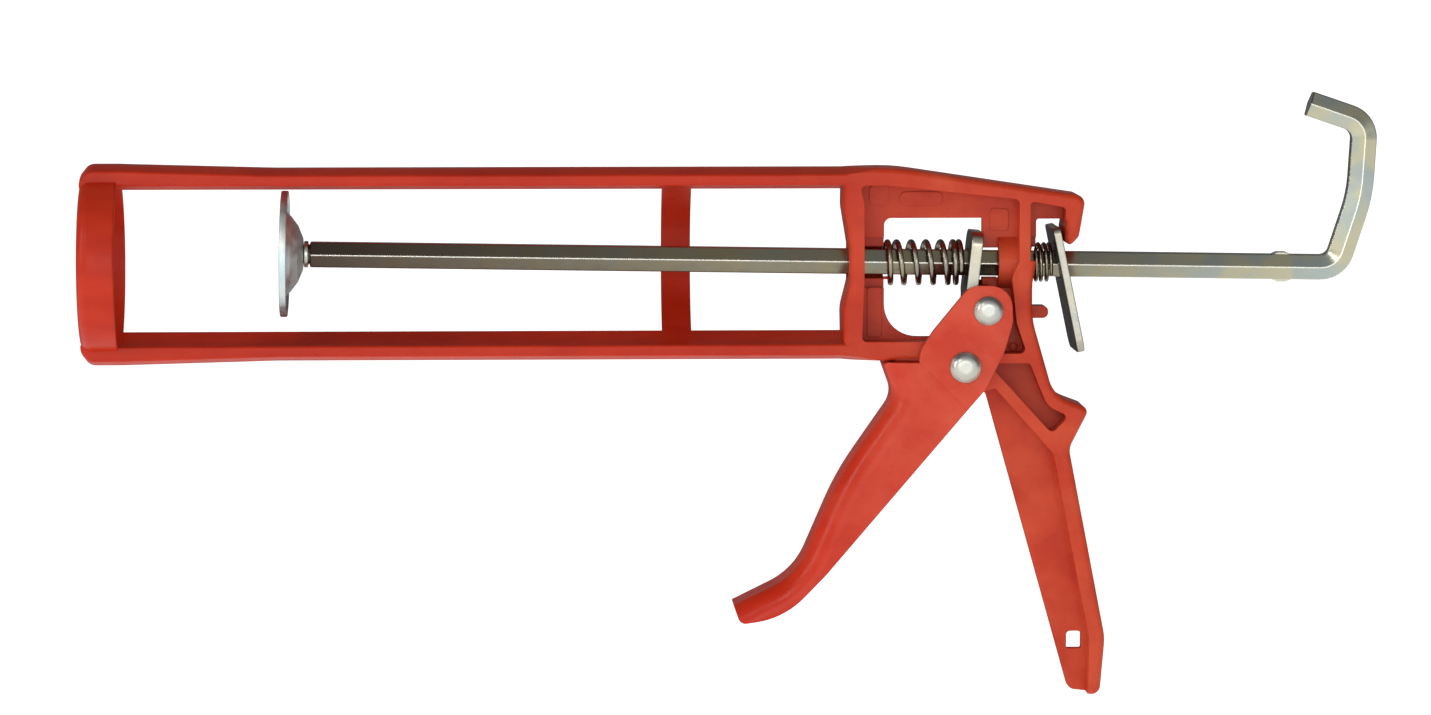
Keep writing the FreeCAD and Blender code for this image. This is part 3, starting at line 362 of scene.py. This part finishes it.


# %% [markdown]
# ## Six platings
#
# The rod has its drawn lines along X and the widest painted highlight along its edges. The
# disc's sheet is pale and rather matt. The springs' wire is darker than the plates, and the
# rivets have the shallowest grain and a painted shade round their heads.

# %% Make the platings
# The rod's edge colour is a painted highlight; its shade is painted shade at the front and
# painted light at the bend.
rod_zinc = plated_steel(
    "drawn_rod_zinc", tint=(0.205, 0.190, 0.140), warm=(0.23, 0.20, 0.12),
    cool=(0.18, 0.20, 0.17), grain=(0.03, 1.0, 1.0), roughness=0.20, depth=0.02 * MM,
    edge=0.7 * MM, painted_edge_colour=(0.68, 0.66, 0.60), shade=paint_rod_shade_and_light)
# The plates get a painted shade on their flat faces; their edge colour is a painted highlight.
plate_zinc = {name: plated_steel(
    name + "_zinc", tint=(0.34, 0.335, 0.30), warm=(0.38, 0.36, 0.27),
    cool=(0.28, 0.30, 0.31), grain=(0.8, 1.0, 1.0), roughness=0.30, depth=0.03 * MM,
    edge=0.5 * MM, painted_edge_colour=(0.52, 0.51, 0.45), shade=paint_shade_on_flat_sides(name))
    for name in ("drive_plate", "release_plate")}
sheet_zinc = plated_steel(
    "pressed_sheet_zinc", tint=(0.52, 0.60, 0.61), warm=(0.56, 0.60, 0.56),
    cool=(0.47, 0.57, 0.60), grain=(0.8, 1.0, 1.0), roughness=0.46, depth=0.02 * MM,
    edge=0.3 * MM, painted_edge_colour=(0.52, 0.58, 0.58))
wire_zinc = plated_steel(
    "spring_wire_zinc", tint=(0.24, 0.215, 0.18), warm=(0.28, 0.24, 0.17),
    cool=(0.21, 0.215, 0.22), grain=(1.0, 0.15, 1.0), roughness=0.24, depth=0.015 * MM,
    edge=0.1 * MM)
# The rivets' edge colour is a painted shade round their heads.
rivet_zinc = plated_steel(
    "bright_rivet_zinc", tint=(0.40, 0.42, 0.42), warm=(0.46, 0.45, 0.38),
    cool=(0.32, 0.37, 0.41), grain=(1.0, 1.0, 1.0), roughness=0.34, depth=0.01 * MM,
    edge=0.3 * MM, painted_edge_colour=(0.20, 0.20, 0.19))

# %% [markdown]
# ## A finish for each ready-made piece
#
# A ready-made shape that is already right only needs its finish: its material slots are emptied
# and filled again. Three pieces are left out here, the two springs and the piston's disc,
# because they are modelled anew further down.

# %% Finish the ready-made pieces
FINISHES = {
    "frame": frame_red, "trigger": trigger_red, "push_rod": rod_zinc,
    **plate_zinc,
    "disc_nut": rivet_zinc, "disc_collar": rivet_zinc,
    "pivot_rivet": rivet_zinc, "pivot_rivet_washer": rivet_zinc,
    "drive_pin": rivet_zinc, "drive_pin_washer": rivet_zinc, "drive_pin_sleeve": rivet_zinc,
}
for name, material in FINISHES.items():
    node = nodes[name]
    node.data.materials.clear()
    node.data.materials.append(material)
    print("%-20s %s" % (name, material.name))

# %% [markdown]
# ## From a bmesh to a finished piece
#
# A bmesh is Blender's mesh for editing in code. Once its operators have made the shape, the
# doubles are merged and the normals turned outwards, and it is written to an object that stays
# at the origin: the place of every point is in the mesh itself, as with the ready-made pieces.

# %% Finish a piece
def finish_piece(name, mesh, material, body, smooth=True):
    """Writes a bmesh to an object of its own, which rides on a body of the gun."""
    bmesh.ops.remove_doubles(mesh, verts=mesh.verts, dist=0.002 * MM)
    bmesh.ops.recalc_face_normals(mesh, faces=mesh.faces)
    for face in mesh.faces:
        face.smooth = smooth
    data = bpy.data.meshes.new(name)
    mesh.to_mesh(data)
    mesh.free()
    data.materials.append(material)
    piece = bpy.data.objects.new(name, data)
    bpy.context.scene.collection.objects.link(piece)
    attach(piece, body)
    print("%-24s %6d faces on %s" % (name, len(data.polygons), body))
    return piece


# %% [markdown]
# ## The springs
#
# A compression spring is wire wound on a mandrel. Its end turns are wound tight against their
# neighbours, so that the end stands square on its seat, and only the turns between are open. A
# curve with a bevel could make it, but `spin` is closer to the machine: it carries a disc of
# wire round the axis and moves it along by a little at every step. A small step makes a closed
# turn, a larger one an open turn, and each spin goes on from where the one before it stopped.

# %% Wind a spring
STEPS_PER_TURN = 40
WIRE_SIDES = 14
CLOSED_PITCH = 1.04  # in wires: a closed turn clears its neighbour by a hair


def wind_spring(name, node, body, wire, front_turns, open_turns, rear_turns, start_angle):
    """Winds a spring into the box of a ready-made one, which it replaces."""
    low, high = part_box(node)
    radius = (high[2] - low[2] - wire) / 2
    middle = Vector((0.0, (low[1] + high[1]) / 2, (low[2] + high[2]) / 2))
    front_advance = front_turns * wire * CLOSED_PITCH
    rear_advance = rear_turns * wire * CLOSED_PITCH
    open_advance = high[0] - low[0] - wire - front_advance - rear_advance
    mesh = bmesh.new()
    start = Matrix.Translation((low[0] + wire / 2, middle.y, middle.z))
    outward = Matrix.Rotation(math.radians(start_angle), 4, "X")
    outward = outward @ Matrix.Translation((0, 0, radius))
    bmesh.ops.create_circle(mesh, cap_ends=True, segments=WIRE_SIDES, radius=wire / 2,
                            matrix=start @ outward @ Matrix.Rotation(math.pi / 2, 4, "X"))
    leading = mesh.verts[:] + mesh.edges[:] + mesh.faces[:]
    for turns, advance in ((front_turns, front_advance), (open_turns, open_advance),
                           (rear_turns, rear_advance)):
        steps = round(turns * STEPS_PER_TURN)
        wound = bmesh.ops.spin(mesh, geom=leading, cent=middle, axis=(1.0, 0.0, 0.0),
                               dvec=(advance / steps, 0.0, 0.0), angle=turns * 2 * math.pi,
                               steps=steps, use_merge=False, use_duplicate=False)
        leading = wound["geom_last"]
    print("%s: %.1f turns, open pitch %.1f mm" % (name, front_turns + open_turns + rear_turns,
                                                 open_advance / open_turns / MM))
    piece = finish_piece(name, mesh, wire_zinc, body)
    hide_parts(node)
    return piece


drive_coil = wind_spring("wound_drive_spring", "drive_spring", "frame_body", wire=1.7 * MM,
                         front_turns=0.8, open_turns=4.1, rear_turns=1.6, start_angle=-62.0)
return_coil = wind_spring("wound_release_spring", "release_spring", "frame_body",
                          wire=1.1 * MM, front_turns=0.75, open_turns=1.75, rear_turns=0.75,
                          start_angle=40.0)

# %% [markdown]
# ## The springs' ends
#
# A spring can't follow one body, because each of its ends stands on another. Here each wound
# spring gets a mesh of its own, and the ends of the ready-made springs are read from their
# boxes, to place the pads, the tab and the button below.

# %% The springs' ends, and a mesh of its own for each spring
drive_front, drive_rear = (corner[0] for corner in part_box("drive_spring"))
return_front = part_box("release_spring")[0][0]
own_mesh(drive_coil)
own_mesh(return_coil)

# %% [markdown]
# ## The piston's disc
#
# The disc is pressed from sheet: a cone carries the nut, a shallow ring stiffens the flat, and
# the rim is rolled back so that it doesn't cut into the cartridge's plunger. All of it is round
# about the rod, so one section and a full `spin` make it. First comes that section, as points
# that are so far out from the rod and so far back along it, from the middle of the disc.

# %% Draw the disc's section
rod_line = -Vector(joints["rod_slide"]["axis"])
disc_low, disc_high = (Vector(corner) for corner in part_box("piston_disc"))
disc_radius = (disc_high.y - disc_low.y) / 2
disc_half = (disc_high.x - disc_low.x - 2 * disc_radius * abs(rod_line.z)) / 2
gauge = 1.2 * MM
flat = gauge - disc_half
hole_radius = 2.6 * MM
cone_foot = 13.0 * MM
ring_middle = 15.4 * MM
ring_foot = 0.7 * MM
ring_crown = 0.3 * MM
ring_height = 0.5 * MM
rim_foot = 1.5 * MM
rim_crown = 1.3 * MM
rim_height = 0.9 * MM
wall_shift = 0.35 * MM  # keeps the cone's wall near its gauge where it slopes
cone = [(hole_radius, disc_half), (4.7 * MM, disc_half), (8.4 * MM, disc_half - 1.5 * MM),
        (11.2 * MM, disc_half - 3.6 * MM), (cone_foot, flat)]
ring = [(ring_middle - ring_foot, flat), (ring_middle - ring_crown, flat + ring_height),
        (ring_middle + ring_crown, flat + ring_height), (ring_middle + ring_foot, flat)]
rim = [(disc_radius - rim_foot, flat), (disc_radius - rim_crown, flat + rim_height),
       (disc_radius, flat + rim_height), (disc_radius, -disc_half)]
rear_side = cone + ring
front_side = [(out - wall_shift, back - gauge) for out, back in reversed(rear_side[1:])]
front_side += [(hole_radius, disc_half - gauge)]
disc_section = rear_side + rim + front_side
print("the disc is %.1f mm across, from a section of %d points"
      % (2 * disc_radius / MM, len(disc_section)))

# %% [markdown]
# ## Spin the disc
#
# The section is drawn with sharp corners, and `bevel` on its vertices gives each corner its
# bend before it is spun. The disc lies on the rod's line, which leans a little, so the finished
# shape is turned to that line.

# %% Press the disc
DISC_STEPS = 96
BEND_RADIUS = 0.3 * MM
mesh = bmesh.new()
points = [mesh.verts.new((back, 0.0, out)) for out, back in disc_section]
for here, there in zip(points, points[1:] + points[:1]):
    mesh.edges.new((here, there))
bmesh.ops.bevel(mesh, geom=mesh.verts[:], offset=BEND_RADIUS, offset_type="OFFSET", segments=3,
                profile=0.5, affect="VERTICES", clamp_overlap=True, material=-1)
bmesh.ops.spin(mesh, geom=mesh.verts[:] + mesh.edges[:], cent=(0.0, 0.0, 0.0),
               axis=(1.0, 0.0, 0.0), angle=2 * math.pi, steps=DISC_STEPS, use_merge=True,
               use_duplicate=False)
lean = Vector((1.0, 0.0, 0.0)).rotation_difference(rod_line).to_matrix().to_4x4()
bmesh.ops.transform(mesh, verts=mesh.verts[:],
                    matrix=Matrix.Translation((disc_low + disc_high) / 2) @ lean)
pressed_disc = finish_piece("pressed_piston_disc", mesh, sheet_zinc, "rod_body")
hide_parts("piston_disc")

# %% [markdown]
# ## Marks of the mould
#
# Where the ejector pins push the cooled frame out of its mould, they leave pads a few tenths of
# a millimetre proud of the web, and the gate leaves a small button. They could be bump in the
# material, but then they would vanish from the side, so they are thin slabs with rounded
# corners, let a little into the web. The same slabs stand on the far side, so they are mirrored.

# %% Ejector pads
WEB_FACE = 1.75 * MM
PAD_PROUD = 0.3 * MM
FRAME_TOP = 28.0 * MM


def add_slab(mesh, across, up, width, height, corner):
    """A thin slab on the near face of the web, with round corners."""
    place = Matrix.Translation((across, -WEB_FACE, up))
    shape = Matrix.Diagonal((width, 2 * PAD_PROUD, height, 1.0))
    slab = bmesh.ops.create_cube(mesh, size=1.0, matrix=place @ shape)["verts"]
    upright = [edge for edge in mesh.edges if edge.verts[0] in slab
               and abs(edge.verts[0].co.y - edge.verts[1].co.y) > PAD_PROUD]
    bmesh.ops.bevel(mesh, geom=upright, offset=corner, offset_type="OFFSET", segments=4,
                    profile=0.5, affect="EDGES", clamp_overlap=True, material=-1)


# Each pad's place along and up, its width and height, and its corners' radius.
PADS = (
    (drive_front - 1.5 * MM, FRAME_TOP - 7.8 * MM, 6.0 * MM, 6.2 * MM, 1.6 * MM),
    (drive_front + 11.1 * MM, FRAME_TOP - 8.8 * MM, 13.0 * MM, 4.2 * MM, 2.0 * MM),
    (return_front - 10.3 * MM, 12.9 * MM, 5.6 * MM, 6.6 * MM, 1.2 * MM),
    (drive_front - 2.9 * MM, -14.9 * MM, 4.4 * MM, 15.0 * MM, 1.0 * MM),
)
mesh = bmesh.new()
for pad in PADS:
    add_slab(mesh, *pad)
bmesh.ops.mirror(mesh, geom=mesh.verts[:] + mesh.edges[:] + mesh.faces[:], merge_dist=0.0,
                 axis="Y")
finish_piece("ejector_pads", mesh, frame_red, "frame_body", smooth=False)

# %% [markdown]
# ## A tab and a button
#
# A small tab of the moulding stands under the rod, at the drive spring's front end. It is a
# block with softened edges. The gate's button is a flattened ball, half sunk in the web.

# %% Spring tab under the rod, and the gate's button
tab_place = Matrix.Translation((drive_front + 0.7 * MM, 0.0, -4.62 * MM))
tab_size = Matrix.Diagonal((2.2 * MM, 2.2 * MM, 0.8 * MM, 1.0))
mesh = bmesh.new()
bmesh.ops.create_cube(mesh, size=1.0, matrix=tab_place @ tab_size)
bmesh.ops.bevel(mesh, geom=mesh.edges[:], offset=0.25 * MM, offset_type="OFFSET", segments=3,
                profile=0.5, affect="EDGES", clamp_overlap=True, material=-1)
finish_piece("spring_tab", mesh, frame_red, "frame_body")

button_place = Matrix.Translation((return_front - 5.8 * MM, -WEB_FACE, -25.4 * MM))
button_flattening = Matrix.Diagonal((1.0, 0.35, 1.0, 1.0))
mesh = bmesh.new()
bmesh.ops.create_uvsphere(mesh, u_segments=24, v_segments=12, radius=1.5 * MM,
                          matrix=button_place @ button_flattening)
finish_piece("gate_button", mesh, frame_red, "frame_body")

# %% [markdown]
# ## The floor
#
# The floor belongs to the studio, not to the gun. It is one wide disc, far
# enough below the gun that its shadow is too soft to see, and it glows, as a lit sweep of white
# paper does. Faces that are seen at a grazing angle mirror what lies behind them, and white
# there would wash them out. In a studio, black card is hung up against that; here the floor
# behind the gun is dark, but only to mirrored light.

# %% Pale floor
FLOOR_RADIUS = 60.0
FLOOR_HEIGHT = -0.42
CARD_Y = (0.2, 1.2)
mesh = bmesh.new()
bmesh.ops.create_circle(mesh, cap_ends=True, segments=64, radius=FLOOR_RADIUS,
                        matrix=Matrix.Translation((0.0, 0.0, FLOOR_HEIGHT)))
floor_data = bpy.data.meshes.new("pale_floor")
mesh.to_mesh(floor_data)
mesh.free()
floor = bpy.data.objects.new("pale_floor", floor_data)
bpy.context.scene.collection.objects.link(floor)

floor_paint, tree, shader, place = new_material("pale_floor_paint", metallic=0.0, roughness=0.9)
shader.inputs["Base Color"].default_value = (0.88, 0.88, 0.88, 1.0)
shader.inputs["Specular IOR Level"].default_value = 0.0
shader.inputs["Emission Color"].default_value = (1.0, 1.0, 1.0, 1.0)
shader.inputs["Emission Strength"].default_value = 0.80
card = tree.nodes.new("ShaderNodeEmission")
card.inputs["Color"].default_value = (0.10, 0.10, 0.10, 1.0)
mirrored = tree.nodes.new("ShaderNodeLightPath")
behind = spread(tree, along(tree, place, "Y"), CARD_Y, (0.0, 1.0))
choice = tree.nodes.new("ShaderNodeMixShader")
tree.links.new(calculate(tree, "MULTIPLY", mirrored.outputs["Is Glossy Ray"], behind),
               choice.inputs["Fac"])
tree.links.new(shader.outputs["BSDF"], choice.inputs[1])
tree.links.new(card.outputs["Emission"], choice.inputs[2])
tree.links.new(choice.outputs["Shader"], tree.nodes["Material Output"].inputs["Surface"])
floor.data.materials.append(floor_paint)
print("floor lies %.0f mm below the middle of the ring" % (-FLOOR_HEIGHT / MM))

# %% [markdown]
# ## The studio's walls
#
# Bright metal has hardly any colour of its own: it shows the room. A plain white world would
# make it white all over, so the world here is a room with a bright band at eye level, a darker
# band above it, and a paler ceiling. The bands are in front of the gun, and behind it the room
# is dark.

# %% Bands of light round the room
# Each stop's height, from 0 straight down over 0.5 at eye level to 1 overhead, and its level.
BANDS = ((0.0, 0.8), (0.52, 1.3), (0.60, 1.6), (0.70, 0.75), (0.80, 0.55), (0.94, 0.55),
         (0.99, 0.8))
FRONT_Y = (0.15, 0.60)
LEVEL_BEHIND = 0.12
world = bpy.data.worlds.new("studio")
world.use_nodes = True
bpy.context.scene.world = world
bpy.context.scene.view_settings.view_transform = "Standard"
tree = world.node_tree
direction = tree.nodes.new("ShaderNodeTexCoord").outputs["Generated"]
bands = tree.nodes.new("ShaderNodeValToRGB")
tree.links.new(spread(tree, along(tree, direction, "Z"), (-1.0, 1.0), (0.0, 1.0)),
               bands.inputs["Fac"])
stops = bands.color_ramp.elements
while len(stops) < len(BANDS):
    stops.new(0.5)
for stop, (height, level) in zip(stops, BANDS):
    stop.position = height
    stop.color = (level, level, level, 1.0)
towards_front = calculate(tree, "MULTIPLY", along(tree, direction, "Y"), -1.0)
front_share = spread(tree, towards_front, FRONT_Y, (LEVEL_BEHIND, 1.0))
print("the room has %d bands" % len(BANDS))

# %% [markdown]
# ## Who sees the walls
#
# Only reflections see those bands. Matt surfaces get one even soft light, and the camera sees a
# plain white wall, as behind a product on a table. The Light Path node says which of them is
# asking.

# %% What the camera, mirrors and matt surfaces see
lights = {}
for name, strength in (("wall", 1.0), ("soft", 0.42), ("banded", 1.0)):
    lights[name] = tree.nodes.new("ShaderNodeBackground")
    lights[name].inputs["Strength"].default_value = strength
    lights[name].inputs["Color"].default_value = (1.0, 1.0, 1.0, 1.0)
tree.links.new(front_share, lights["banded"].inputs["Strength"])
tree.links.new(bands.outputs["Color"], lights["banded"].inputs["Color"])
path = tree.nodes.new("ShaderNodeLightPath")
mirror_mix = tree.nodes.new("ShaderNodeMixShader")
camera_mix = tree.nodes.new("ShaderNodeMixShader")
tree.links.new(path.outputs["Is Glossy Ray"], mirror_mix.inputs["Fac"])
tree.links.new(lights["soft"].outputs["Background"], mirror_mix.inputs[1])
tree.links.new(lights["banded"].outputs["Background"], mirror_mix.inputs[2])
tree.links.new(path.outputs["Is Camera Ray"], camera_mix.inputs["Fac"])
tree.links.new(mirror_mix.outputs["Shader"], camera_mix.inputs[1])
tree.links.new(lights["wall"].outputs["Background"], camera_mix.inputs[2])
tree.links.new(camera_mix.outputs["Shader"], tree.nodes["World Output"].inputs["Surface"])
print("the room is lit for", ", ".join(lights))

# %% [markdown]
# ## Soft boxes
#
# A wide box in front of the gun lights its near side evenly. A small one, high on the left,
# gives the forms a little shadow, and a tall strip beyond the gun's front end lights the faces
# that look that way.

# %% Place the soft boxes
def soft_box(name, place, target, width, height, power):
    """Adds a rectangular lamp that faces the target."""
    lamp = bpy.data.lights.new(name, "AREA")
    lamp.shape = "RECTANGLE"
    lamp.size = width
    lamp.size_y = height
    lamp.energy = power
    holder = bpy.data.objects.new(name, lamp)
    holder.location = place
    holder.rotation_euler = (Vector(target) - Vector(place)).to_track_quat("-Z", "Y").to_euler()
    bpy.context.scene.collection.objects.link(holder)
    print("%s gives %.1f W" % (name, power))


middle_of_gun = (-0.04, 0.0, -0.03)
soft_box("front_box", (-0.15, -2.6, 0.30), middle_of_gun, width=1.8, height=0.9, power=11.5)
soft_box("key_box", (-0.9, -1.5, 1.1), middle_of_gun, width=0.55, height=0.4, power=4.0)
soft_box("side_strip", (-1.7, -0.75, 0.65), middle_of_gun, width=0.2, height=1.0, power=7.0)

# %% [markdown]
# ## Camera
#
# A long lens from a little above keeps the gun's proportions true: its far side is hardly
# smaller than its near side.

# %% Camera
camera = bpy.data.cameras.new("camera")
camera.lens = 138.4
camera.sensor_width = 36.0
camera.clip_start = 0.1
camera.clip_end = 200.0
viewer = bpy.data.objects.new("camera", camera)
viewer.location = (-0.1038, -1.6424, 0.1153)
aim = Vector((-0.03775, 0.0, -0.02846))
viewer.rotation_euler = (aim - viewer.location).to_track_quat("-Z", "Y").to_euler()
bpy.context.scene.collection.objects.link(viewer)
bpy.context.scene.camera = viewer
print("camera looks down by %.1f degrees" % (90.0 - math.degrees(viewer.rotation_euler.x)))
